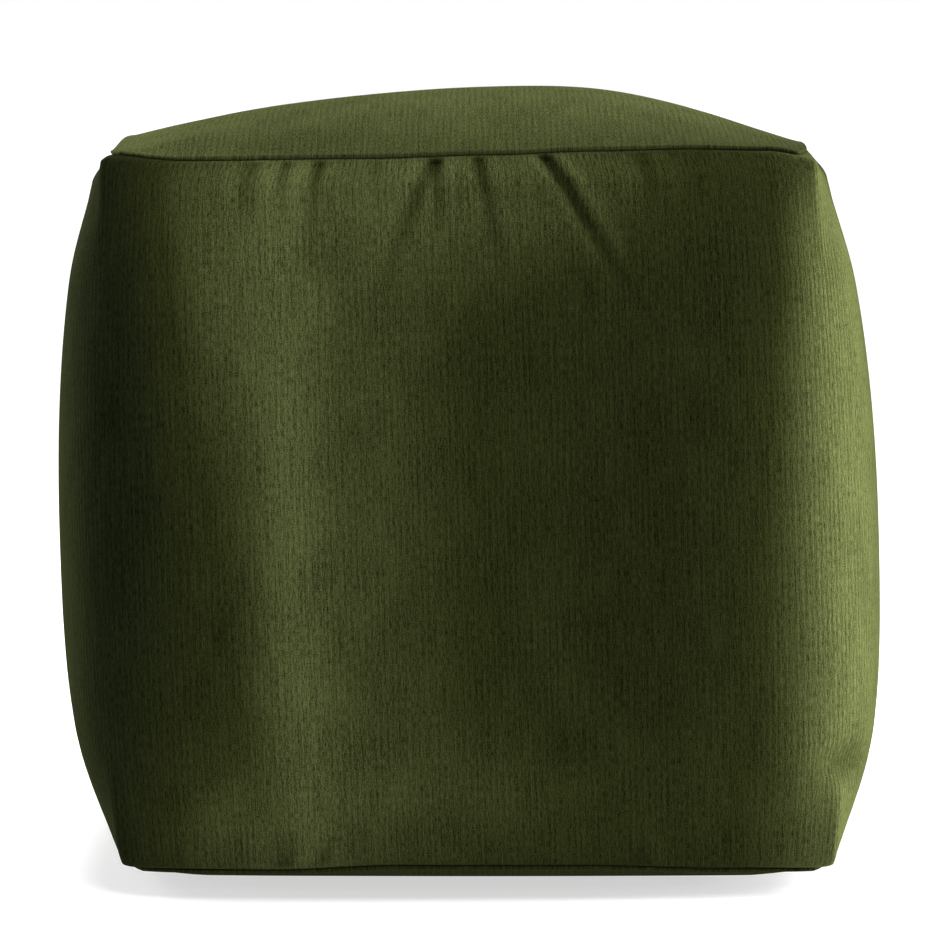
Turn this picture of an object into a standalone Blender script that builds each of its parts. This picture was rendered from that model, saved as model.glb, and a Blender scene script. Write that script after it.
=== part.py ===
"""Cube pouf stool: a soft filled cube of fine-ribbed velvet.

One continuous side band, holding the filling, runs round the cube. A square panel is sewn to its top
edge and another to its bottom edge, both with plain seams. The seams are square with pointed corners,
and between them the band swells out and rounds off. Metres, +Z up, origin at the centre of the base.
"""

import math

import bmesh
import bpy

# Driving dimensions
CORNER_HALF = 0.1935  # from the middle to a corner of either seam, along X and along Y
SEAM_BOW = 0.010  # how far the middle of a seam's side stands out past its corners
SIDE_HALF = 0.2315  # from the middle to the fullest part of a side
FULL_CORNER_HALF = 0.204  # from the middle to the fullest part of a rounded corner, along X and along Y
BASE_SEAM_Z = 0.013  # the band's bottom edge
TOP_SEAM_Z = 0.4045  # the band's top edge
CROWN = 0.032  # rise of the filling above the top seam
SHEET = 0.003  # a panel's velvet with its pile, measured straight up
GAP = 0.0003  # clearance between pieces

# Shape of the swelling
BULGE_POWER = 2.65  # higher is flatter up the middle of a side
SAG = 0.79  # under 1 sets the fullest part below mid height, where the filling settles
CROWN_POWER = 2.3  # higher is flatter across the top
CORNER_BLEND = 0.07  # height over which a seam's pointed corner turns into the band's rounded one
FLAT_SHARE = 0.7  # share of the base panel's width that lies flat on the floor

# Mesh
CELLS = 20  # quads along each side of the square
BAND_ROWS = 20  # quads up the band
SMOOTH_ANGLE = 0.9  # radians; a sharper edge stays sharp
MERGE = 0.00001

VELVET_COLOUR = (0.052, 0.058, 0.022, 1.0)
VELVET_ROUGHNESS = 0.85


def clear_scene():
    for obj in list(bpy.data.objects):
        bpy.data.objects.remove(obj, do_unlink=True)


def smooth_step(value):
    """0 below 0, 1 above 1, and an easy curve between."""
    clamped = min(max(value, 0.0), 1.0)
    return clamped * clamped * (3 - 2 * clamped)


def steps(count):
    """Evenly spaced values from -1 to 1."""
    return [2 * index / count - 1 for index in range(count + 1)]


def square_point(u, v, corner=CORNER_HALF, bow=SEAM_BOW):
    """A point of a square whose sides bow out between its corners; u and v run from -1 to 1."""
    x = u * (corner + bow * (1 - v * v))
    y = v * (corner + bow * (1 - u * u))
    return x, y


def rounded_point(u, v, corner, bow):
    """The like point of the superellipse through the same corners and the same middles of the sides."""
    half = corner + bow
    exponent = math.log(2) / math.log(half / corner)
    norm = (abs(u) ** exponent + abs(v) ** exponent) ** (1 / exponent)
    return half * u / norm, half * v / norm


def top_point(u, v, lift=0.0):
    """A point of the filling's crown, or one that far above it."""
    x, y = square_point(u, v)
    rise = CROWN * (1 - abs(u) ** CROWN_POWER) * (1 - abs(v) ** CROWN_POWER)
    return x, y, TOP_SEAM_Z + rise + lift


def turn_up(step):
    """0 over the flat patch, rising to 1 at the seam."""
    return max(0.0, (abs(step) - FLAT_SHARE) / (1 - FLAT_SHARE)) ** 2


def base_point(u, v, lift=0.0):
    """A point under the filling, or one that far above it: a flat straight-sided patch, turned up round it."""
    x = u * CORNER_HALF + math.copysign(SEAM_BOW * (1 - v * v) * turn_up(u), u)
    y = v * CORNER_HALF + math.copysign(SEAM_BOW * (1 - u * u) * turn_up(v), v)
    flat_z = SHEET + GAP
    rise = (BASE_SEAM_Z - flat_z) * max(turn_up(u), turn_up(v))
    return x, y, flat_z + rise + lift


def rim_stations():
    """(u, v) of the points around the square, anticlockwise from above."""
    side = steps(CELLS)[:-1]
    front = [(s, -1.0) for s in side]
    right = [(1.0, s) for s in side]
    back = [(-s, 1.0) for s in side]
    left = [(-1.0, -s) for s in side]
    return front + right + back + left


def band_point(u, v, share):
    """A point of the band's outer face, at a share of the height from its bottom edge to its top edge."""
    height = TOP_SEAM_Z - BASE_SEAM_Z
    bulge = 1 - abs(2 * share**SAG - 1) ** BULGE_POWER
    corner = CORNER_HALF + bulge * (FULL_CORNER_HALF - CORNER_HALF)
    bow = SEAM_BOW + bulge * (SIDE_HALF - FULL_CORNER_HALF - SEAM_BOW)
    roundness = smooth_step(min(share, 1 - share) * height / CORNER_BLEND)
    pointed = square_point(u, v, corner, bow)
    rounded = rounded_point(u, v, corner, bow)
    x = (1 - roundness) * pointed[0] + roundness * rounded[0]
    y = (1 - roundness) * pointed[1] + roundness * rounded[1]
    return x, y, BASE_SEAM_Z + share * height


def band_rows():
    """Rings up the band, closer together near the seams, where it turns in quickest."""
    stations = rim_stations()
    rows = []
    for step in steps(BAND_ROWS):
        share = 0.5 + 0.5 * step * (1.5 - 0.5 * step * step)
        rows.append([band_point(u, v, share) for u, v in stations])
    return rows


def square_rows(point_at):
    """Rows of points over the seam's square, from a function of u and v."""
    return [[point_at(u, v) for u in steps(CELLS)] for v in steps(CELLS)]


def add_patch(bm, rows, closed=False):
    """Triangles between neighbouring rows of points; a closed patch joins each row's end to its start.

    Every cell is cut along the same diagonal, so that a panel stays parallel to the filling it covers.
    """
    verts = [[bm.verts.new(point) for point in row] for row in rows]
    width = len(rows[0])
    cells = width if closed else width - 1
    for lower, upper in zip(verts, verts[1:]):
        for index in range(cells):
            after = (index + 1) % width
            bm.faces.new((lower[index], lower[after], upper[after]))
            bm.faces.new((lower[index], upper[after], upper[index]))


def velvet(name):
    material = bpy.data.materials.new(name)
    material.use_nodes = True
    shader = material.node_tree.nodes["Principled BSDF"]
    shader.inputs["Base Color"].default_value = VELVET_COLOUR
    shader.inputs["Roughness"].default_value = VELVET_ROUGHNESS
    shader.inputs["Metallic"].default_value = 0.0
    return material


def add_piece(collection, name, bm):
    """A named object made from a bmesh, in its own velvet."""
    mesh = bpy.data.meshes.new(name)
    bm.to_mesh(mesh)
    bm.free()
    mesh.shade_smooth()
    mesh.set_sharp_from_angle(angle=SMOOTH_ANGLE)
    mesh.materials.append(velvet(name))
    piece = bpy.data.objects.new(name, mesh)
    collection.objects.link(piece)
    return piece


def side_band(collection):
    """The band and the filling inside it, crowned on top and flattened below, as one solid."""
    bm = bmesh.new()
    add_patch(bm, band_rows(), closed=True)
    add_patch(bm, square_rows(top_point))
    add_patch(bm, square_rows(base_point))
    bmesh.ops.remove_doubles(bm, verts=bm.verts, dist=MERGE)
    bmesh.ops.recalc_face_normals(bm, faces=bm.faces)
    return add_piece(collection, "side_band", bm)


def panel(collection, name, point_at):
    """A velvet sheet whose lower face follows the given function of u and v."""
    bm = bmesh.new()
    add_patch(bm, square_rows(point_at))
    extruded = bmesh.ops.extrude_face_region(bm, geom=bm.faces[:], use_keep_orig=True)["geom"]
    upper = [item for item in extruded if isinstance(item, bmesh.types.BMVert)]
    bmesh.ops.translate(bm, vec=(0.0, 0.0, SHEET), verts=upper)
    bmesh.ops.recalc_face_normals(bm, faces=bm.faces)
    return add_piece(collection, name, bm)


def top_panel(collection):
    """The panel over the crown."""
    return panel(collection, "top_panel", lambda u, v: top_point(u, v, GAP))


def base_panel(collection):
    """The panel under the filling, flat on the floor except where it turns up to the seam."""
    return panel(collection, "base_panel", lambda u, v: base_point(u, v, -GAP - SHEET))


def main():
    clear_scene()
    pouf = bpy.data.collections.new("cube_pouf")
    bpy.context.scene.collection.children.link(pouf)
    side_band(pouf)
    top_panel(pouf)
    base_panel(pouf)


main()
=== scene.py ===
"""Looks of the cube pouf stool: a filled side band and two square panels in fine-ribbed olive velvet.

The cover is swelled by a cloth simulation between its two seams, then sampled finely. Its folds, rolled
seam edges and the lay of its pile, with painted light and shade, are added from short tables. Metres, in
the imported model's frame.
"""

import math
from collections import namedtuple

import bpy
import numpy as np
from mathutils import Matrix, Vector

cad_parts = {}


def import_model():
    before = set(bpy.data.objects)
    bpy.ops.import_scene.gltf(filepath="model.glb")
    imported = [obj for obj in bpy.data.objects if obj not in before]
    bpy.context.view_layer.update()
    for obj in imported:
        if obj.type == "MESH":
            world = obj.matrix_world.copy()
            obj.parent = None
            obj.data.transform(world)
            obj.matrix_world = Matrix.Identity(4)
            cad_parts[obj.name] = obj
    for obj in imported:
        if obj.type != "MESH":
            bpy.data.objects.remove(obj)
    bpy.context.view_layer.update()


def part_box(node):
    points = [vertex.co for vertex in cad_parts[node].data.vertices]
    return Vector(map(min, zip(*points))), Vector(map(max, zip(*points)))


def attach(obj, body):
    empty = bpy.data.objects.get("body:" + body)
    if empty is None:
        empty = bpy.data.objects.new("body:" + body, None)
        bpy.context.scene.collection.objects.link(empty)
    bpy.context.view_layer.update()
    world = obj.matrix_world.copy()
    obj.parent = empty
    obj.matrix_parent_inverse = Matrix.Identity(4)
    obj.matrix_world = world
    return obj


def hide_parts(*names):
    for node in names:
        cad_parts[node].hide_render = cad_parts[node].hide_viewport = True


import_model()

# Sizes from the frame
SIDE_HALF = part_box("side_band")[1].x
TOP_SEAM_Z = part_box("top_panel")[0].z
TOP_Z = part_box("top_panel")[1].z
BASE_SEAM_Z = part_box("base_panel")[1].z
WALL = TOP_SEAM_Z - BASE_SEAM_Z

# Shares of the frame's sizes
CORNER_HALF = 0.836 * SIDE_HALF  # to a corner of either seam
SEAM_BOW = 0.043 * SIDE_HALF  # the middle of a seam's side stands out past its corners
FULL_CORNER_HALF = 0.881 * SIDE_HALF  # to the fullest part of a rounded corner
CORNER_BLEND = 0.18 * WALL  # height over which a seam's pointed corner turns into the rounded one
FLAT_SHARE = 0.6  # of the base that lies flat
TURN_POWER = 1.6  # higher turns up more steeply at the seam
BULGE_POWER = 2.65  # higher is flatter up the middle of a side
SAG = 0.79  # under 1 sets the fullest part below mid height
CROWN_POWER = 2.3  # higher is flatter across the top

# Simulation
SIM_CELLS = 40  # quads along each side
SIM_FRAMES = 22
SIM_START = 0.72  # share of the swelling that the cloth starts with
SIM_SHARE = 0.4  # of the final shape that follows the simulated cloth, the rest following the formula
SIM_PRESSURE = 4.0  # air pressing the cover out
SIM_CAP = 0.016  # metres that no point moves beyond before it is fitted to the frame
CLOTH = {
    "quality": 5,
    "mass": 0.3,
    "tension_stiffness": 15,
    "compression_stiffness": 15,
    "shear_stiffness": 5,
    "bending_stiffness": 0.5,
    "use_pressure": True,
    "uniform_pressure_force": SIM_PRESSURE,
}

# Fine meshes
BAND_COLUMNS = (220, 110, 160, 110)  # on the front, right, back and left
BAND_ROWS = 150
PANEL_CELLS = 170
EDGE_CLOSENESS = 0.15  # spacing at a seam as a share of the even spacing
CORNER_CLOSENESS = 0.6  # the same, at the ends of a side
BASE_CELLS = 120
PANEL_THICKNESS = 0.001
CAP_SCALES = (0.95, 0.85, 0.7, 0.5, 0.3, 0.12)  # of the rings that close the filling under the panels
CAP_GAP = 0.0010  # between the filling and a panel
TINY = 1e-6  # keeps a divisor off 0

SEED = 41  # of the patches on the sides other than the front

# Rolled seam edges, metres
LIP_RADIUS = 0.0013  # of the band's edge
LIP_PUFF = 0.0006  # how far the band puffs out beside a seam
PUFF_REACH = 0.006  # from the seam to the fullest of the puff
PANEL_ROLL = 0.00115  # radius of a panel's edge
ROLL_TURN = 2.8  # radians that a panel's edge turns through
LIP_FADE = 0.030  # over which a panel's edge settles into its crown
CORNER_LIP = 0.0022  # extra height of the band's rolled edge at a corner
CORNER_NOTCH = 0.0085  # how far a panel's corner and the band's edge there are tucked in
CORNER_EAR = 0.030  # how far from a corner the tuck reaches
NOTCH_REACH = 0.06  # how far into a panel its corner's tuck reaches
TOP_TUCK = 0.0085  # how much less the top seam bows than the band below it
TUCK_REACH = 0.016  # below the top seam

# Closing seam up the middle of the back, metres
CLOSING_SEAM = 0.0  # across the cube
BACK_CROWDING = 1.5  # over 1 crowds the back's columns together there
GROOVE_HALF = 0.0010
GROOVE_DEPTH = 0.0020
GROOVE_PAINTED_SHADE = 0.6  # how much painted shade lies in the groove, 1 being a full crease
GROOVE_PUFF = 0.3  # how far its sides puff out, as a share of its depth
PUFF_OFF = 0.0045
PUFF_HALF = 0.0030

# Unevenness of the whole shape
SETTLED = 0.13  # share by which the crown lies lower on the left
SETTLED_EDGE = 0.09  # across the cube, where the settling starts
SETTLED_EASE = 0.20  # distance over which it grows to its full share
FULLER = 0.10  # share by which the crown lies higher right of its middle
FULLER_AT = 0.095  # across the cube
FULLER_HALF = 0.060
LEAN = 0.012  # metres to the left, from floor to crown
LEAN_PIVOT = 0.4  # share of the height that stays in place
WANDER_REACH = 0.06  # how far from a seam its wandering is felt

# Folds
FRONT, RIGHT, BACK, LEFT = range(4)
FOLD_START = 0.004  # metres from the seam to where a fold has opened
FOLD_TAPER = 1.3  # over 1 thins a fold out early
SHOULDER = 0.3  # height of the shoulders beside a trough, as a share of its depth
SHOULDER_OFF = 1.9  # from the trough to a shoulder, in half widths
FULL_CREASE = 0.0034  # depth of a fold that counts as a full crease
DENT_PAINTED_SHADE = 0.5  # how much painted shade lies in a dent, 1 being a full crease
CREASE_PAINTED_SHADE = 0.42  # how much painted shade a full crease puts on the lay of the pile, darkening it
# along is metres along the side seen from outside, lean is metres sideways a metre away from the seam,
# and reach, half_width and depth are metres
Fold = namedtuple("Fold", "side seam along lean reach half_width depth")
FOLDS = [
    Fold(FRONT, "top", -0.1160, 0.00, 0.045, 0.0050, 0.0018),
    Fold(FRONT, "top", -0.0970, 0.00, 0.045, 0.0032, 0.0024),
    Fold(FRONT, "top", -0.0780, -0.08, 0.055, 0.0036, 0.0028),
    Fold(FRONT, "top", -0.0460, 0.00, 0.035, 0.0034, 0.0012),
    Fold(FRONT, "top", -0.0140, -0.40, 0.080, 0.0044, 0.0030),
    Fold(FRONT, "top", -0.0115, 0.00, 0.048, 0.0034, 0.0032),
    Fold(FRONT, "top", 0.0110, 0.18, 0.070, 0.0038, 0.0028),
    Fold(FRONT, "top", 0.0480, 0.60, 0.095, 0.0040, 0.0044),
    Fold(FRONT, "top", 0.1010, 0.20, 0.035, 0.0048, 0.0012),
    Fold(FRONT, "base", -0.1060, 0.10, 0.030, 0.0060, 0.0022),
    Fold(FRONT, "base", -0.0860, 0.25, 0.026, 0.0045, 0.0018),
    Fold(FRONT, "base", 0.0900, -0.20, 0.028, 0.0060, 0.0014),
    Fold(RIGHT, "top", -0.0700, 0.25, 0.060, 0.0080, 0.0030),
    Fold(RIGHT, "top", 0.0150, -0.10, 0.045, 0.0070, 0.0022),
    Fold(RIGHT, "top", 0.0820, -0.35, 0.055, 0.0080, 0.0026),
    Fold(BACK, "top", -0.0900, 0.30, 0.050, 0.0080, 0.0028),
    Fold(BACK, "top", -0.0300, 0.10, 0.040, 0.0060, 0.0022),
    Fold(BACK, "top", 0.0550, -0.30, 0.065, 0.0075, 0.0030),
    Fold(LEFT, "top", -0.0550, 0.20, 0.055, 0.0080, 0.0028),
    Fold(LEFT, "top", 0.0100, 0.00, 0.040, 0.0070, 0.0020),
    Fold(LEFT, "top", 0.0900, -0.25, 0.050, 0.0080, 0.0026),
]
Dent = namedtuple("Dent", "centre spread depth")
DENTS = [
    Dent((0.205, -0.195, 0.072), (0.018, 0.030, 0.010), 0.004),
]

# How far the seams stray up from level: places along a side and rises there, a row a side
TOP_WANDER = [
    ((-0.1945, -0.155, -0.05, 0.02, 0.075, 0.128, 0.175, 0.1945),
     (0.0, -0.0028, -0.0014, 0.0006, 0.0026, 0.0036, 0.0026, 0.0)),
    ((-0.1945, -0.08, 0.05, 0.1945), (0.0, 0.0016, -0.0012, 0.0)),
    ((-0.1945, -0.06, 0.09, 0.1945), (0.0, -0.0015, 0.0018, 0.0)),
    ((-0.1945, -0.04, 0.10, 0.1945), (0.0, 0.0018, -0.0016, 0.0)),
]
BASE_WANDER = [
    ((-0.1945, -0.12, -0.04, 0.06, 0.14, 0.1945), (0.0, 0.0004, 0.0036, 0.0034, 0.0012, 0.0)),
    ((-0.1945, 0.0, 0.1945), (0.0, 0.0030, 0.0)),
    ((-0.1945, 0.0, 0.1945), (0.0, 0.0032, 0.0)),
    ((-0.1945, 0.0, 0.1945), (0.0, 0.0028, 0.0)),
]

# Lay of the pile with painted light and shade, from 0 (dark: pile pressed away, painted shade) through
# 0.5 (even) to 1 (light: pile brushed towards the light, painted light and sheen)
EVEN_LAY = 0.5
BASE_LAY = 0.45
SIDE_BLEND_POWER = 8  # higher narrows the corners where two sides' patches mix
SIDE_PATCH_COUNT = 8
PATCH_RANGES = ((-0.18, 0.18), (0.03, 0.38), (0.03, 0.08), (0.08, 0.35), (-0.3, 0.3), (-0.3, 0.3))
# a soft ellipse turned anticlockwise by turn, whose light is added to the lay; on the front, the top and
# the front corners this is painted light and shade, on the other sides random tone of the pile
Patch = namedtuple("Patch", "along height wide tall turn light")
# Painted light and shade on the front: a lit column left of the middle standing in for the pile's sheen,
# a lit strip where the right corner turns to the right lamp, a shaded strip at the left corner, darker
# places right of the middle, and lighter places along both seams
FRONT_PAINTED_LIGHT_PATCHES = [
    Patch(-0.098, 0.24, 0.022, 0.32, 0.03, 0.37),
    Patch(-0.058, 0.24, 0.040, 0.32, 0.0, 0.17),
    Patch(-0.135, 0.33, 0.030, 0.09, 0.0, 0.26),
    Patch(-0.160, 0.39, 0.030, 0.04, 0.0, 0.20),
    Patch(-0.030, 0.39, 0.060, 0.05, 0.0, 0.20),
    Patch(0.050, 0.39, 0.060, 0.04, 0.0, 0.24),
    Patch(0.095, 0.20, 0.065, 0.20, 0.0, -0.17),
    Patch(0.160, 0.35, 0.022, 0.06, 0.0, -0.12),
    Patch(0.205, 0.20, 0.029, 0.60, 0.0, 0.48),
    Patch(-0.205, 0.20, 0.034, 0.60, 0.0, -0.46),
    Patch(-0.168, 0.20, 0.026, 0.14, 0.15, -0.13),
    Patch(-0.140, 0.03, 0.030, 0.035, 0.0, 0.22),
    Patch(0.010, 0.06, 0.100, 0.035, 0.0, 0.10),
]
# Painted light on the top: painted sheen along the back of the crown where it turns away, a lighter
# front part and left end, and painted shade at the right end
TOP_PAINTED_LIGHT_PATCHES = [
    Patch(0.0, -0.10, 0.40, 0.12, 0.0, 0.26),
    Patch(-0.05, 0.12, 0.20, 0.10, 0.0, 0.80),
    Patch(0.17, -0.12, 0.06, 0.10, 0.0, -0.14),
    Patch(-0.19, 0.00, 0.05, 0.30, 0.0, 0.20),
]
# Painted light on the front end of the right side, which faces the right lamp, and painted shade on the
# front end of the left side, away from it
CORNER_PAINTED_LIGHT_PATCHES = (
    (RIGHT, Patch(-0.20, 0.2, 0.12, 0.60, 0.0, 0.35)),
    (LEFT, Patch(0.20, 0.2, 0.10, 0.60, 0.0, -0.35)),
)

# Velvet
DEEP = (0.0060, 0.0086, 0.0042)  # colour at a lay of 0, the darkest pile and the deepest painted shade
EVEN = (0.0225, 0.0265, 0.0075)  # colour at a lay of 0.5
PALE = (0.080, 0.091, 0.031)  # colour at a lay of 1, the lightest pile and the brightest painted light and sheen
RIB_PITCH = 0.00345
RIB_TONE = 0.10
RIB_RELIEF = 0.30
RIB_CROWDING = 7  # higher keeps the ribs evenly spaced until nearer a corner
LEAST_TONE = 0.25  # the darkest that ribs and grain make a colour, as a share of it
RELIEF_STRENGTH = 0.6
RELIEF_DEPTH = 0.0004  # metres
ROUGHNESS = 0.62
ROUGHNESS_SPREAD = 0.08
UV_SHIFT = 0.5  # of the panels' cloth coordinates
WAVER_WIDTH = 0.004
WAVER_LENGTH = 0.05
WAVER_SEED = 3.1
WAVER_TURN = 0.8  # radians that the ribs stray by
# width is across the ribs and length along them, in metres; tone and relief are strengths
Grain = namedtuple("Grain", "width length detail seed tone relief")
GRAINS = (
    Grain(0.0007, 0.004, 1.0, 7.7, 0.8, 0.5),  # also varies the roughness
    Grain(0.0010, 0.03, 1.0, 1.9, 0.45, 0.2),
    Grain(0.0006, 0.0007, 1.0, 5.3, 1.0, 0.5),
    Grain(0.03, 0.045, 3.0, 9.1, 0.25, 0.0),
)

# Studio, metres and watts
MIDDLE = (0, 0, TOP_Z / 2)
Area = namedtuple("Area", "name place target size power")
AREA_LIGHTS = (
    Area("right", (2.0, 0.25, 0.5), MIDDLE, (1.0, 1.2), 148),
    Area("behind", (0.2, 1.9, 1.5), (0, 0, TOP_Z), (1.8, 0.7), 18),
    Area("left", (-1.7, 1.3, 0.5), MIDDLE, (0.8, 1.2), 60),
    Area("front", (-0.9, -2.6, 1.2), MIDDLE, (1.6, 1.6), 14),
)
SUN_STRENGTH = 3.5
SUN_ANGLE = 0.35
FILL_STRENGTH = 0.08
FLOOR_SIZE = 40
FLOOR_DROP = 0.0002  # below the stool
FLOOR_GREY = (0.50, 0.50, 0.50, 1)
FLOOR_GLOW = 0.6
WHITE = (1, 1, 1, 1)
SENSOR = 36
LENS = 225.3
FARTHEST = 100
EYE = Vector((0, -3.4, 0.50))
AIM = Vector((0, 0, 0.2169))


# ---------------------------------------------------------------- shape by formula


def steps(count):
    return np.linspace(-1.0, 1.0, count + 1)


def spread(values, closeness):
    """Steps from -1 to 1 drawn towards both ends.

    Closeness is their spacing at the ends, as a share of the even spacing.
    """
    return closeness * values + (1 - closeness) * (1.5 * values - 0.5 * values**3)


def smooth_step(values):
    clamped = np.clip(values, 0.0, 1.0)
    return clamped * clamped * (3 - 2 * clamped)


def ring(sides):
    """(u, v) around the square from the steps along each side.

    It runs anticlockwise from the front left corner.
    """
    front, right, back, left = (side[:-1] for side in sides)
    u = np.concatenate([front, np.ones_like(right), -back, -np.ones_like(left)])
    v = np.concatenate([-np.ones_like(front), right, np.ones_like(back), -left])
    return u, v


def square_point(u, v, corner, bow):
    """A point of a square whose sides bow out between its corners; u and v run from -1 to 1."""
    return u * (corner + bow * (1 - v * v)), v * (corner + bow * (1 - u * u))


def band_surface(u, v, share, fullness):
    """Points of the band's outer face. fullness is the share of the swelling."""
    bulge = fullness * (1 - np.abs(2 * share**SAG - 1) ** BULGE_POWER)
    corner = CORNER_HALF + bulge * (FULL_CORNER_HALF - CORNER_HALF)
    bow = SEAM_BOW + bulge * (SIDE_HALF - FULL_CORNER_HALF - SEAM_BOW)
    pointed_x, pointed_y = square_point(u, v, corner, bow)
    half = corner + bow
    exponent = math.log(2) / np.log(half / corner)
    norm = (np.abs(u) ** exponent + np.abs(v) ** exponent) ** (1 / exponent)
    roundness = smooth_step(np.minimum(share, 1 - share) * WALL / CORNER_BLEND)
    x = (1 - roundness) * pointed_x + roundness * half * u / norm
    y = (1 - roundness) * pointed_y + roundness * half * v / norm
    return np.stack([x, y, BASE_SEAM_Z + share * WALL + 0 * x], axis=-1)


def top_surface(u, v, fullness):
    """Points of the crowned top panel."""
    x, y = square_point(u, v, CORNER_HALF, SEAM_BOW)
    crown = (TOP_Z - TOP_SEAM_Z) * fullness
    rise = crown * (1 - np.abs(u) ** CROWN_POWER) * (1 - np.abs(v) ** CROWN_POWER)
    return np.stack([x, y, TOP_SEAM_Z + rise], axis=-1)


def base_surface(u, v):
    """Points of the base panel, flat on the floor and turned up to the seam all round."""
    x, y = square_point(u, v, CORNER_HALF, SEAM_BOW)
    reach = np.maximum(np.abs(u), np.abs(v))
    turn_up = np.maximum(0.0, (reach - FLAT_SHARE) / (1 - FLAT_SHARE)) ** TURN_POWER
    return np.stack([x, y, BASE_SEAM_Z * turn_up], axis=-1)


# ---------------------------------------------------------------- cloth simulation


def sewn_cover():
    """The cover as one closed mesh: its points, its quads, and the indices of its band, top and base."""
    cells = SIM_CELLS
    u, v = ring([steps(cells)] * 4)
    shares = (steps(cells)[:, None] + 1) / 2
    band = band_surface(u[None, :], v[None, :], shares, SIM_START)
    band_index = np.arange(band.shape[0] * band.shape[1]).reshape(band.shape[:2])
    points = [band.reshape(-1, 3)]
    count = band_index.size
    grids = []
    across, deep = np.meshgrid(steps(cells), steps(cells))
    panels = (
        (top_surface(across, deep, SIM_START), band_index[-1]),
        (base_surface(across, deep), band_index[0]),
    )
    for surface, rim in panels:
        index = np.full((cells + 1, cells + 1), -1)
        index[0, :-1] = rim[:cells]
        index[:-1, -1] = rim[cells : 2 * cells]
        index[-1, :0:-1] = rim[2 * cells : 3 * cells]
        index[:0:-1, 0] = rim[3 * cells :]
        inner = index < 0
        index[inner] = count + np.arange(inner.sum())
        count += int(inner.sum())
        points.append(surface[inner])
        grids.append(index)
    top_index, base_index = grids
    wrapped = np.hstack([band_index, band_index[:, :1]])
    quads = [grid_quads(wrapped), grid_quads(top_index), grid_quads(base_index)[:, ::-1]]
    return np.vstack(points), np.vstack(quads), band_index, top_index, base_index


def grid_quads(index):
    """Quads between the neighbouring points of a grid of indices."""
    corners = (index[:-1, :-1], index[:-1, 1:], index[1:, 1:], index[1:, :-1])
    return np.stack([c.ravel() for c in corners], axis=1)


def swell(points, quads, pinned):
    """Where the points are after air has pressed the cover out between the pinned ones."""
    mesh = bpy.data.meshes.new("cover")
    mesh.from_pydata(points.tolist(), [], quads.tolist())
    cover = bpy.data.objects.new("cover", mesh)
    bpy.context.scene.collection.objects.link(cover)
    group = cover.vertex_groups.new(name="sewn")
    group.add([int(i) for i in pinned], 1.0, "REPLACE")
    cloth = cover.modifiers.new("cloth", "CLOTH")
    for setting, value in CLOTH.items():
        setattr(cloth.settings, setting, value)
    cloth.settings.effector_weights.gravity = 0
    cloth.settings.vertex_group_mass = group.name
    cloth.collision_settings.use_collision = False
    cloth.point_cache.frame_end = SIM_FRAMES
    scene = bpy.context.scene
    for number in range(1, SIM_FRAMES + 1):
        scene.frame_set(number)
    result = cover.evaluated_get(bpy.context.evaluated_depsgraph_get()).data
    swelled = np.zeros(len(points) * 3)
    result.vertices.foreach_get("co", swelled)
    bpy.data.objects.remove(cover)
    scene.frame_set(1)
    moved = swelled.reshape(-1, 3) - points
    length = np.linalg.norm(moved, axis=1, keepdims=True)
    soft_limit = SIM_CAP * np.tanh(length / SIM_CAP)
    return points + moved * soft_limit / np.maximum(length, TINY)


def swelled_grids():
    """The swelled band and top as grids of points, fitted to the frame's sizes."""
    u, v = ring([steps(SIM_CELLS)] * 4)
    shares = (steps(SIM_CELLS)[:, None] + 1) / 2
    band = band_surface(u[None, :], v[None, :], shares, 1.0)
    across, deep = np.meshgrid(steps(SIM_CELLS), steps(SIM_CELLS))
    top = top_surface(across, deep, 1.0)
    points, quads, band_index, top_index, base_index = sewn_cover()
    pinned = np.unique(np.concatenate([band_index[0], band_index[-1], base_index.ravel()]))
    swelled = swell(points, quads, pinned)
    before = points[band_index]
    moved = swelled[band_index] - before
    widest = np.abs(before[..., :2]).max()
    grown = np.abs(swelled[band_index][..., :2]).max()
    swelled_band = before + moved * (SIDE_HALF - widest) / (grown - widest)
    before = points[top_index]
    moved = swelled[top_index] - before
    highest = before[..., 2].max()
    lift = (TOP_Z - highest) / (swelled[top_index][..., 2].max() - highest)
    swelled_top = before + moved * lift
    band = (1 - SIM_SHARE) * band + SIM_SHARE * swelled_band
    return band, (1 - SIM_SHARE) * top + SIM_SHARE * swelled_top


# ---------------------------------------------------------------- fine sampling


def cubic(values, at, wrap=False):
    """Catmull-Rom values along the first axis, at places counted in grid steps."""
    count = len(values)
    if wrap:
        cell = np.floor(at).astype(int)
        share = at - cell
        picks = [values[(cell + k) % count] for k in (-1, 0, 1, 2)]
    else:
        padded = np.concatenate([2 * values[:1] - values[1:2], values, 2 * values[-1:] - values[-2:-1]])
        cell = np.clip(np.floor(at).astype(int), 0, count - 2)
        share = at - cell
        picks = [padded[cell + k] for k in (0, 1, 2, 3)]
    t = share.reshape((-1,) + (1,) * (values.ndim - 1))
    p0, p1, p2, p3 = picks
    return p1 + 0.5 * t * (p2 - p0 + t * (2 * p0 - 5 * p1 + 4 * p2 - p3 + t * (3 * (p1 - p2) + p3 - p0)))


def fine_band(coarse):
    """The band's fine grid of points, with the (u, v) of its columns."""
    sides = [spread(steps(count), CORNER_CLOSENESS) for count in BAND_COLUMNS]
    sides[BACK] = np.sign(sides[BACK]) * np.abs(sides[BACK]) ** BACK_CROWDING
    places = np.concatenate([number + (side[:-1] + 1) / 2 for number, side in enumerate(sides)])
    shares = (spread(steps(BAND_ROWS), EDGE_CLOSENESS) + 1) / 2
    across = cubic(np.swapaxes(coarse, 0, 1), places * SIM_CELLS, wrap=True)
    return cubic(np.swapaxes(across, 0, 1), shares * SIM_CELLS), ring(sides)


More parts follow.
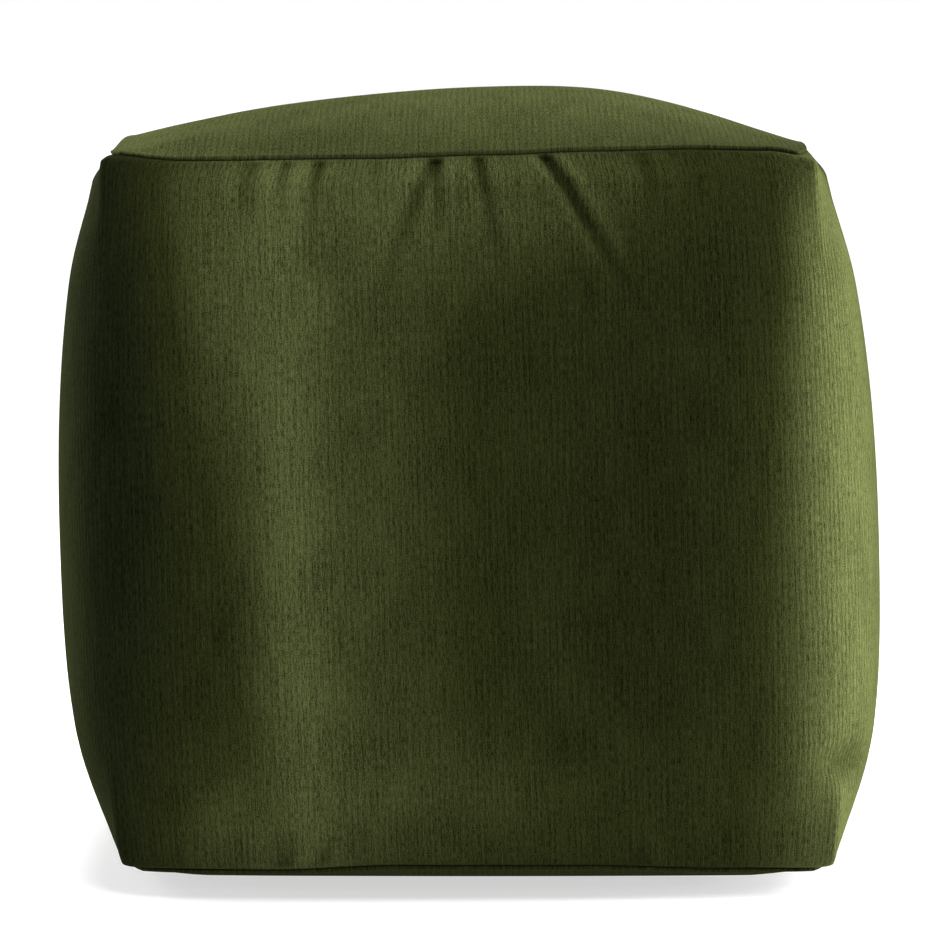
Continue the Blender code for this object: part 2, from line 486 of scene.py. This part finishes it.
def fine_panel(coarse, cells):
    """A panel's fine grid of points, with the (u, v) of each."""
    side = spread(steps(cells), EDGE_CLOSENESS)
    places = (side + 1) / 2 * SIM_CELLS
    v, u = np.meshgrid(side, side, indexing="ij")
    return np.swapaxes(cubic(np.swapaxes(cubic(coarse, places), 0, 1), places), 0, 1), u, v


# ---------------------------------------------------------------- seams


def around(u, v):
    """Side number (front, right, back, left) and place along it in metres, seen from outside."""
    side = np.where(np.abs(v) >= np.abs(u), np.where(v < 0, FRONT, BACK), np.where(u > 0, RIGHT, LEFT))
    along = np.select([side == FRONT, side == RIGHT, side == BACK], [u, v, -u], -v) * CORNER_HALF
    return side, along


def corner_share(u, v):
    """0 in the middle of a side, rising to 1 at its ends."""
    across, deep = np.abs(u), np.abs(v)
    return np.minimum(across, deep) / np.maximum(np.maximum(across, deep), TINY)


def corner_weight(u, v):
    """1 at a corner of the square, 0 away from it."""
    return np.exp(-((1 - corner_share(u, v)) * CORNER_HALF / CORNER_EAR))


def wander_at(u, v, table):
    """How far a seam strays up from level at each (u, v)."""
    side, along = around(u, v)
    rises = np.zeros(np.shape(u))
    for number, (places, values) in enumerate(table):
        chosen = side == number
        rises[chosen] = smooth_between(along[chosen], places, values)
    return rises


def smooth_between(at, places, values):
    """Values eased between the places of a table."""
    places = np.asarray(places)
    values = np.asarray(values)
    cell = np.clip(np.searchsorted(places, at) - 1, 0, len(places) - 2)
    share = smooth_step((at - places[cell]) / (places[cell + 1] - places[cell]))
    return values[cell] + share * (values[cell + 1] - values[cell])


def drawn_in(points, u, v, inset):
    """Points moved in level towards the middle of the cube, by that much at each."""
    reach = np.maximum(np.maximum(np.abs(u), np.abs(v)), TINY)
    moved = points.copy()
    moved[..., 0] -= inset * u / reach
    moved[..., 1] -= inset * v / reach
    return moved


def rolled_band(points, u, v):
    """The band with its edges rolled in to the seams."""
    u = np.broadcast_to(u, points.shape[:2])
    v = np.broadcast_to(v, points.shape[:2])
    corner = corner_weight(u, v)
    depth = LIP_RADIUS + CORNER_NOTCH * corner
    height = LIP_RADIUS + CORNER_LIP * corner
    inset = np.zeros(points.shape[:2])
    for below in (TOP_SEAM_Z - points[..., 2], points[..., 2] - BASE_SEAM_Z):
        rolled = np.clip(1 - below / height, 0, 1)
        inset += depth * (1 - np.sqrt(1 - rolled**2))
        inset -= LIP_PUFF * (below / PUFF_REACH) * np.exp(1 - below / PUFF_REACH)
    inset += TOP_TUCK * (1 - corner_share(u, v) ** 2) * fade(TOP_SEAM_Z - points[..., 2], TUCK_REACH)
    points = drawn_in(points, u, v, inset)
    points[..., 2] += wander_at(u, v, TOP_WANDER) * fade(TOP_SEAM_Z - points[..., 2], WANDER_REACH)
    points[..., 2] += wander_at(u, v, BASE_WANDER) * fade(points[..., 2] - BASE_SEAM_Z, WANDER_REACH)
    return points


def fade(distance, reach):
    """1 at the seam, easing to 0 at that distance."""
    return 1 - smooth_step(distance / reach)


def rolled_panel(points, u, v, side, wander):
    """A panel with its rim rolled in to the seam; side is 1 for the top and -1 for the base."""
    seam_z = TOP_SEAM_Z if side > 0 else BASE_SEAM_Z
    half = CORNER_HALF + SEAM_BOW
    inward = (1 - np.maximum(np.abs(u), np.abs(v))) * half
    corner = corner_weight(u, v)
    turned = np.minimum(inward / PANEL_ROLL, ROLL_TURN)
    roll_length = PANEL_ROLL * ROLL_TURN
    inset = PANEL_ROLL * (1 - np.sin(turned)) - np.minimum(inward, roll_length)
    inset = np.where(inward > roll_length, inset * (half - inward) / (half - roll_length), inset)
    inset += CORNER_NOTCH * corner * fade(inward, NOTCH_REACH)
    if side > 0:
        inset += TOP_TUCK * (1 - corner_share(u, v) ** 2) * (half - inward) / half
    moved = drawn_in(points, u, v, inset)
    lip = PANEL_ROLL * (1 - np.cos(turned)) * np.exp(-np.maximum(inward - roll_length, 0) / LIP_FADE)
    rise = np.abs(points[..., 2] - seam_z)
    if side > 0:
        rise = rise * (1 - SETTLED * smooth_step((SETTLED_EDGE - points[..., 0]) / SETTLED_EASE))
        rise = rise * (1 + FULLER * np.exp(-(((points[..., 0] - FULLER_AT) / FULLER_HALF) ** 2)))
    moved[..., 2] = seam_z + side * np.sqrt(lip**2 + rise**2)
    moved[..., 2] += wander_at(u, v, wander) * fade(inward, WANDER_REACH)
    if side < 0:
        moved[..., 2] = np.maximum(moved[..., 2], 0.0)
    return moved


# ---------------------------------------------------------------- folds and unevenness


def pressed_in(points, u, v):
    """The band with its folds, closing seam and dents, and the painted shade each point gets from its
    creases, with painted light on a fold's shoulders.

    A fold is a trough running away from a seam between soft shoulders.
    """
    u = np.broadcast_to(u, points.shape[:2])
    v = np.broadcast_to(v, points.shape[:2])
    side, _ = around(u, v)
    inset = np.zeros(points.shape[:2])
    painted_crease_shade = np.zeros(points.shape[:2])
    x, y = points[..., 0], points[..., 1]
    horizontals = (x, y, -x, -y)
    for fold in FOLDS:
        horizontal = horizontals[fold.side]
        away = TOP_SEAM_Z - points[..., 2] if fold.seam == "top" else points[..., 2] - BASE_SEAM_Z
        off = (horizontal - fold.along - fold.lean * away) / fold.half_width
        reach = np.clip(1 - away / fold.reach, 0, 1) ** FOLD_TAPER * smooth_step(away / FOLD_START)
        trough = np.exp(-(off**2)) - SHOULDER * np.exp(-((np.abs(off) - SHOULDER_OFF) ** 2))
        pressed = (side == fold.side) * fold.depth * reach * trough
        inset += pressed
        painted_crease_shade += pressed / FULL_CREASE
    off = np.abs(x - CLOSING_SEAM)
    groove = (side == BACK) * np.exp(-((off / GROOVE_HALF) ** 2))
    puff = (side == BACK) * np.exp(-(((off - PUFF_OFF) / PUFF_HALF) ** 2))
    inset += GROOVE_DEPTH * (groove - GROOVE_PUFF * puff)
    painted_crease_shade += GROOVE_PAINTED_SHADE * groove
    for dent in DENTS:
        gap = points - np.array(dent.centre)
        pressed = np.exp(-(gap**2 / np.array(dent.spread) ** 2).sum(-1))
        inset += dent.depth * pressed
        painted_crease_shade += DENT_PAINTED_SHADE * pressed
    return drawn_in(points, u, v, inset), painted_crease_shade


def leaned(points):
    """Moves the points in place, so that the whole stool leans a little to its left."""
    points[..., 0] += LEAN * (LEAN_PIVOT - points[..., 2] / TOP_Z)
    return points


# ---------------------------------------------------------------- meshes


def mesh_object(name, points, faces, uvs, pile_lays_with_painted_light):
    """A smooth mesh with a UV map in metres and the lay of its pile, with painted light and shade, as a
    point attribute.
    """
    mesh = bpy.data.meshes.new(name)
    mesh.from_pydata(points.tolist(), [], faces)
    layer = mesh.uv_layers.new(name="cloth")
    layer.data.foreach_set("uv", uvs.astype(np.float32).ravel())
    lay_with_painted_light = mesh.attributes.new("pile_and_painted_light", "FLOAT", "POINT")
    lay_with_painted_light.data.foreach_set("value", pile_lays_with_painted_light.astype(np.float32))
    mesh.shade_smooth()
    obj = bpy.data.objects.new(name, mesh)
    bpy.context.scene.collection.objects.link(obj)
    return obj


def rib_places(points):
    """Metres of cloth round the band at each point, a column more than the points have.

    The ribs run straight up the middle of every side, and crowd together at the corners of the seams.
    """
    rows = len(points)
    ends = np.concatenate([[0], np.cumsum(BAND_COLUMNS)])
    stride = np.linalg.norm(np.roll(points, -1, axis=1) - points, axis=2)
    total = np.hstack([np.zeros((rows, 1)), np.cumsum(stride, axis=1)])
    full = total[rows // 2]
    places = np.zeros_like(total)
    for first, last in zip(ends, ends[1:]):
        here = total[:, first : last + 1]
        middle = (here[:, :1] + here[:, -1:]) / 2
        half = (here[:, -1:] - here[:, :1]) / 2
        full_half = (full[last] - full[first]) / 2
        from_middle = here - middle
        crowded = (full_half - half) * np.sign(from_middle) * np.abs(from_middle / half) ** RIB_CROWDING
        places[:, first : last + 1] = (full[first] + full[last]) / 2 + from_middle + crowded
    return places


def panel_at(panel, u, v):
    """Points of a panel's grid at any (u, v)."""
    along = spread(steps(len(panel) - 1), EDGE_CLOSENESS)
    column = np.interp(u, along, np.arange(len(along)))
    row = np.interp(v, along, np.arange(len(along)))
    left = np.minimum(column.astype(int), len(along) - 2)
    near = np.minimum(row.astype(int), len(along) - 2)
    across = (column - left)[:, None]
    deep = (row - near)[:, None]
    front = (1 - across) * panel[near, left] + across * panel[near, left + 1]
    rear = (1 - across) * panel[near + 1, left] + across * panel[near + 1, left + 1]
    return (1 - deep) * front + deep * rear


def end_fans(index):
    """Triangles from the two points after the grid to its lowest and highest rings."""
    fans = []
    columns = index.shape[1]
    for k in range(columns):
        after = (k + 1) % columns
        fans.append((index.size, int(index[0, after]), int(index[0, k])))
        fans.append((index.size + 1, int(index[-1, k]), int(index[-1, after])))
    return fans


def ring_uvs(round_at, up_at):
    """UV pairs for the corners of each quad, from metres round and metres up."""
    uvs = []
    for row in range(len(up_at) - 1):
        lower, upper = round_at[row], round_at[row + 1]
        low_up = np.full(len(lower) - 1, up_at[row])
        high_up = np.full(len(lower) - 1, up_at[row + 1])
        corners = (lower[:-1], low_up, lower[1:], low_up, upper[1:], high_up, upper[:-1], high_up)
        uvs.append(np.stack(corners, axis=1))
    return np.vstack(uvs).reshape(-1, 2)


def side_cover(points, smooth, u, v, painted_crease_shade, top, base):
    """The band, closed above and below by caps of filling that follow the insides of the panels."""
    rows, columns = points.shape[:2]
    inside = np.array((0.0, 0.0, PANEL_THICKNESS + CAP_GAP))
    top_rings = [panel_at(top, u * scale, v * scale) - inside for scale in CAP_SCALES]
    base_rings = [panel_at(base, u * scale, v * scale) + inside for scale in CAP_SCALES]
    stack = base_rings[::-1] + list(points) + top_rings
    grid = np.stack(stack)
    index = np.arange(grid.shape[0] * columns).reshape(grid.shape[0], columns)
    quads = grid_quads(np.hstack([index, index[:, :1]]))
    fans = end_fans(index)
    flat = np.vstack([grid.reshape(-1, 3), grid[0].mean(0), grid[-1].mean(0)])
    round_at = rib_places(smooth)
    climb = np.linalg.norm(np.diff(smooth[:, BAND_COLUMNS[FRONT] // 2], axis=0), axis=1)
    up_at = np.concatenate([[0.0], np.cumsum(climb)])
    extra = len(CAP_SCALES)
    up_all = np.concatenate([np.full(extra, up_at[0]), up_at, np.full(extra, up_at[-1])])
    round_all = np.vstack([round_at[:1]] * extra + [round_at] + [round_at[-1:]] * extra)
    fan_uvs = np.zeros((len(fans) * 3, 2))
    uvs = np.vstack([ring_uvs(round_all, up_all), fan_uvs])
    # the lay of the pile with its painted light and shade, from the patches
    pile_lays_with_painted_light = pile_lay_and_painted_light_band(grid)
    # painted shade in the troughs of the folds, the groove and the dent, and painted light on the folds'
    # shoulders
    pile_lays_with_painted_light[extra : extra + rows] -= CREASE_PAINTED_SHADE * painted_crease_shade
    pile_lays_with_painted_light = np.concatenate([pile_lays_with_painted_light.ravel(), [EVEN_LAY, EVEN_LAY]])
    return mesh_object("side_cover", flat, quads.tolist() + fans, uvs, pile_lays_with_painted_light)


def panel_cover(name, points, side, pile_lays_with_painted_light):
    """A panel's grid as a thin sheet; side is 1 for the top and -1 for the base."""
    quads = grid_quads(np.arange(points[..., 0].size).reshape(points.shape[:2]))
    if side < 0:
        quads = quads[:, ::-1]
    flat = points.reshape(-1, 3)
    uvs = flat[quads.ravel()][:, :2] + UV_SHIFT
    obj = mesh_object(name, flat, quads.tolist(), uvs, pile_lays_with_painted_light.ravel())
    solidify = obj.modifiers.new("thickness", "SOLIDIFY")
    solidify.thickness = PANEL_THICKNESS
    solidify.offset = -1
    return obj


# ---------------------------------------------------------------- lay of the pile, with painted light and shade


def patch_light(along, height, patches):
    """The lay of the pile at each place from its patches, painted light and shade among them."""
    light = np.full(np.shape(along), EVEN_LAY)
    for patch in patches:
        across = along - patch.along
        up = height - patch.height
        turned_across = across * math.cos(patch.turn) + up * math.sin(patch.turn)
        turned_up = -across * math.sin(patch.turn) + up * math.cos(patch.turn)
        distance = (turned_across / patch.wide) ** 2 + (turned_up / patch.tall) ** 2
        light += patch.light * np.exp(-distance)
    return light


def side_patches(rng, number):
    """Soft patches for a side other than the front."""
    return [Patch(*(rng.uniform(low, high) for low, high in PATCH_RANGES)) for _ in range(number)]


def pile_lay_and_painted_light_band(grid):
    """The lay of the pile with its painted light and shade at each point of the band, mixed between two
    sides at a corner.
    """
    rng = np.random.default_rng(SEED)
    sides = [FRONT_PAINTED_LIGHT_PATCHES] + [side_patches(rng, SIDE_PATCH_COUNT) for _ in range(3)]
    for number, patch in CORNER_PAINTED_LIGHT_PATCHES:
        sides[number].append(patch)
    x, y, z = grid[..., 0], grid[..., 1], grid[..., 2]
    outward = [-y, x, y, -x]
    along = [x, y, -x, -y]
    lay_with_painted_light = np.zeros(x.shape)
    weight_sum = np.zeros(x.shape)
    for number in range(4):
        weight = np.clip(outward[number] / SIDE_HALF, 0, 1) ** SIDE_BLEND_POWER + TINY
        lay_with_painted_light += weight * patch_light(along[number], z, sides[number])
        weight_sum += weight
    return lay_with_painted_light / weight_sum


# ---------------------------------------------------------------- velvet


def velvet(name):
    """Ribbed velvet in the part's cloth coordinates, lighter or darker by the lay of its pile and by the
    painted light, sheen and shade carried with it.
    """
    material = bpy.data.materials.new(name)
    material.use_nodes = True
    nodes = material.node_tree.nodes
    links = material.node_tree.links
    shader = nodes["Principled BSDF"]

    def node(kind, **settings):
        made = nodes.new(kind)
        for key, value in settings.items():
            setattr(made, key, value)
        return made

    def maths(operation, first, second=None, third=None):
        made = node("ShaderNodeMath", operation=operation)
        for slot_index, value in enumerate((first, second, third)):
            if value is None:
                continue
            if isinstance(value, (int, float)):
                made.inputs[slot_index].default_value = value
            else:
                links.new(value, made.inputs[slot_index])
        return made.outputs[0]

    place = node("ShaderNodeUVMap", uv_map="cloth").outputs[0]

    def noise(width, length, detail, seed):
        """Noise with grains of that width across the ribs and length along them, as -1 to 1."""
        scaled = node("ShaderNodeMapping")
        scaled.inputs["Scale"].default_value = (1 / width, 1 / length, 1)
        scaled.inputs["Location"].default_value = (seed, seed, seed)
        links.new(place, scaled.inputs["Vector"])
        made = node("ShaderNodeTexNoise", noise_dimensions="2D")
        made.inputs["Scale"].default_value = 1.0
        made.inputs["Detail"].default_value = detail
        links.new(scaled.outputs[0], made.inputs["Vector"])
        return maths("MULTIPLY", maths("SUBTRACT", made.outputs[0], 0.5), 2.0)

    separate = node("ShaderNodeSeparateXYZ")
    links.new(place, separate.inputs[0])
    waver = noise(WAVER_WIDTH, WAVER_LENGTH, 1.0, WAVER_SEED)
    turn = maths("MULTIPLY", waver, WAVER_TURN)
    phase = maths("MULTIPLY_ADD", separate.outputs[0], 2 * math.pi / RIB_PITCH, turn)
    ribs = maths("SINE", phase)
    grains = [noise(grain.width, grain.length, grain.detail, grain.seed) for grain in GRAINS]

    tone = maths("MULTIPLY", ribs, RIB_TONE)
    for grain, pattern in zip(GRAINS, grains):
        tone = maths("MULTIPLY_ADD", pattern, grain.tone, tone)
    tone = maths("ADD", tone, 1.0)
    # the lay of the pile with its painted light and shade, read from the point attribute
    lay_with_painted_light = node("ShaderNodeAttribute", attribute_name="pile_and_painted_light").outputs["Fac"]

    ramp = node("ShaderNodeValToRGB")
    ramp.color_ramp.elements[0].position = 0.0
    ramp.color_ramp.elements[0].color = (*DEEP, 1)
    ramp.color_ramp.elements[1].position = 1.0
    ramp.color_ramp.elements[1].color = (*PALE, 1)
    middle = ramp.color_ramp.elements.new(EVEN_LAY)
    middle.color = (*EVEN, 1)
    links.new(lay_with_painted_light, ramp.inputs[0])
    scaled = node("ShaderNodeVectorMath", operation="SCALE")
    links.new(ramp.outputs[0], scaled.inputs[0])
    links.new(maths("MAXIMUM", tone, LEAST_TONE), scaled.inputs["Scale"])
    links.new(scaled.outputs[0], shader.inputs["Base Color"])

    height = maths("MULTIPLY", ribs, RIB_RELIEF)
    for grain, pattern in zip(GRAINS, grains):
        if grain.relief:
            height = maths("MULTIPLY_ADD", pattern, grain.relief, height)
    bump = node("ShaderNodeBump")
    bump.inputs["Strength"].default_value = RELIEF_STRENGTH
    bump.inputs["Distance"].default_value = RELIEF_DEPTH
    links.new(height, bump.inputs["Height"])
    links.new(bump.outputs[0], shader.inputs["Normal"])
    rough = maths("MULTIPLY_ADD", grains[0], ROUGHNESS_SPREAD, ROUGHNESS)
    links.new(rough, shader.inputs["Roughness"])
    shader.inputs["Specular IOR Level"].default_value = 0.0
    shader.inputs["Sheen Weight"].default_value = 0.04
    shader.inputs["Sheen Roughness"].default_value = 0.35
    shader.inputs["Sheen Tint"].default_value = (0.60, 0.70, 0.36, 1)
    return material


# ---------------------------------------------------------------- studio


def area_light(light):
    data = bpy.data.lights.new(light.name, "AREA")
    data.shape = "RECTANGLE"
    data.size, data.size_y = light.size
    data.energy = light.power
    lamp = bpy.data.objects.new(light.name, data)
    lamp.location = light.place
    facing = Vector(light.target) - Vector(light.place)
    lamp.rotation_euler = facing.to_track_quat("-Z", "Y").to_euler()
    bpy.context.scene.collection.objects.link(lamp)


def overhead():
    """A soft sun straight above."""
    data = bpy.data.lights.new("overhead", "SUN")
    data.energy = SUN_STRENGTH
    data.angle = SUN_ANGLE
    sun = bpy.data.objects.new("overhead", data)
    bpy.context.scene.collection.objects.link(sun)


def floor():
    bpy.ops.mesh.primitive_plane_add(size=FLOOR_SIZE, location=(0, 0, -FLOOR_DROP))
    plane = bpy.context.object
    plane.name = "floor"
    material = bpy.data.materials.new("floor")
    material.use_nodes = True
    shader = material.node_tree.nodes["Principled BSDF"]
    shader.inputs["Base Color"].default_value = FLOOR_GREY
    shader.inputs["Roughness"].default_value = 0.9
    shader.inputs["Specular IOR Level"].default_value = 0.0
    shader.inputs["Emission Color"].default_value = WHITE
    shader.inputs["Emission Strength"].default_value = FLOOR_GLOW
    plane.data.materials.append(material)


def world():
    """White to the camera, and a faint fill for everything else."""
    made = bpy.data.worlds.new("studio")
    bpy.context.scene.world = made
    made.use_nodes = True
    nodes = made.node_tree.nodes
    links = made.node_tree.links
    nodes.clear()
    output = nodes.new("ShaderNodeOutputWorld")
    seen = nodes.new("ShaderNodeBackground")
    seen.inputs["Color"].default_value = WHITE
    seen.inputs["Strength"].default_value = 1.0
    fill = nodes.new("ShaderNodeBackground")
    fill.inputs["Color"].default_value = WHITE
    fill.inputs["Strength"].default_value = FILL_STRENGTH
    mix = nodes.new("ShaderNodeMixShader")
    path = nodes.new("ShaderNodeLightPath")
    links.new(path.outputs["Is Camera Ray"], mix.inputs[0])
    links.new(fill.outputs[0], mix.inputs[1])
    links.new(seen.outputs[0], mix.inputs[2])
    links.new(mix.outputs[0], output.inputs[0])


def camera():
    data = bpy.data.cameras.new("camera")
    data.sensor_width = SENSOR
    data.lens = LENS
    data.clip_end = FARTHEST
    made = bpy.data.objects.new("camera", data)
    made.location = EYE
    made.rotation_euler = (AIM - EYE).to_track_quat("-Z", "Y").to_euler()
    bpy.context.scene.collection.objects.link(made)
    bpy.context.scene.camera = made


# ---------------------------------------------------------------- build

coarse_band, coarse_top = swelled_grids()
smooth_band, (ring_u, ring_v) = fine_band(coarse_band)
# crease holds the painted shade in the folds, groove and dent, and the painted light on the folds'
# shoulders
pressed, painted_crease_shade = pressed_in(smooth_band, ring_u, ring_v)
band = leaned(rolled_band(pressed, ring_u, ring_v))

top, top_u, top_v = fine_panel(coarse_top, PANEL_CELLS)
top = leaned(rolled_panel(top, top_u, top_v, 1, TOP_WANDER))
# the top's painted sheen, light and shade
top_lay_with_painted_light = patch_light(top[..., 0], top[..., 1], TOP_PAINTED_LIGHT_PATCHES)
top_piece = panel_cover("top_cover", top, 1, top_lay_with_painted_light)

side_steps = spread(steps(BASE_CELLS), EDGE_CLOSENESS)
base_v, base_u = np.meshgrid(side_steps, side_steps, indexing="ij")
base = leaned(rolled_panel(base_surface(base_u, base_v), base_u, base_v, -1, BASE_WANDER))
base_piece = panel_cover("base_cover", base, -1, np.full(base.shape[:2], BASE_LAY))
side = side_cover(band, smooth_band, ring_u, ring_v, painted_crease_shade, top, base)

for piece, node, slot in (
    (side, "side_band", "side_velvet"),
    (top_piece, "top_panel", "top_velvet"),
    (base_piece, "base_panel", "base_velvet"),
):
    piece.data.materials.append(velvet(slot))
    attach(piece, "root")
    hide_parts(node)

floor()
world()
for light in AREA_LIGHTS:
    area_light(light)
overhead()
camera()
bpy.context.scene.view_settings.view_transform = "Standard"
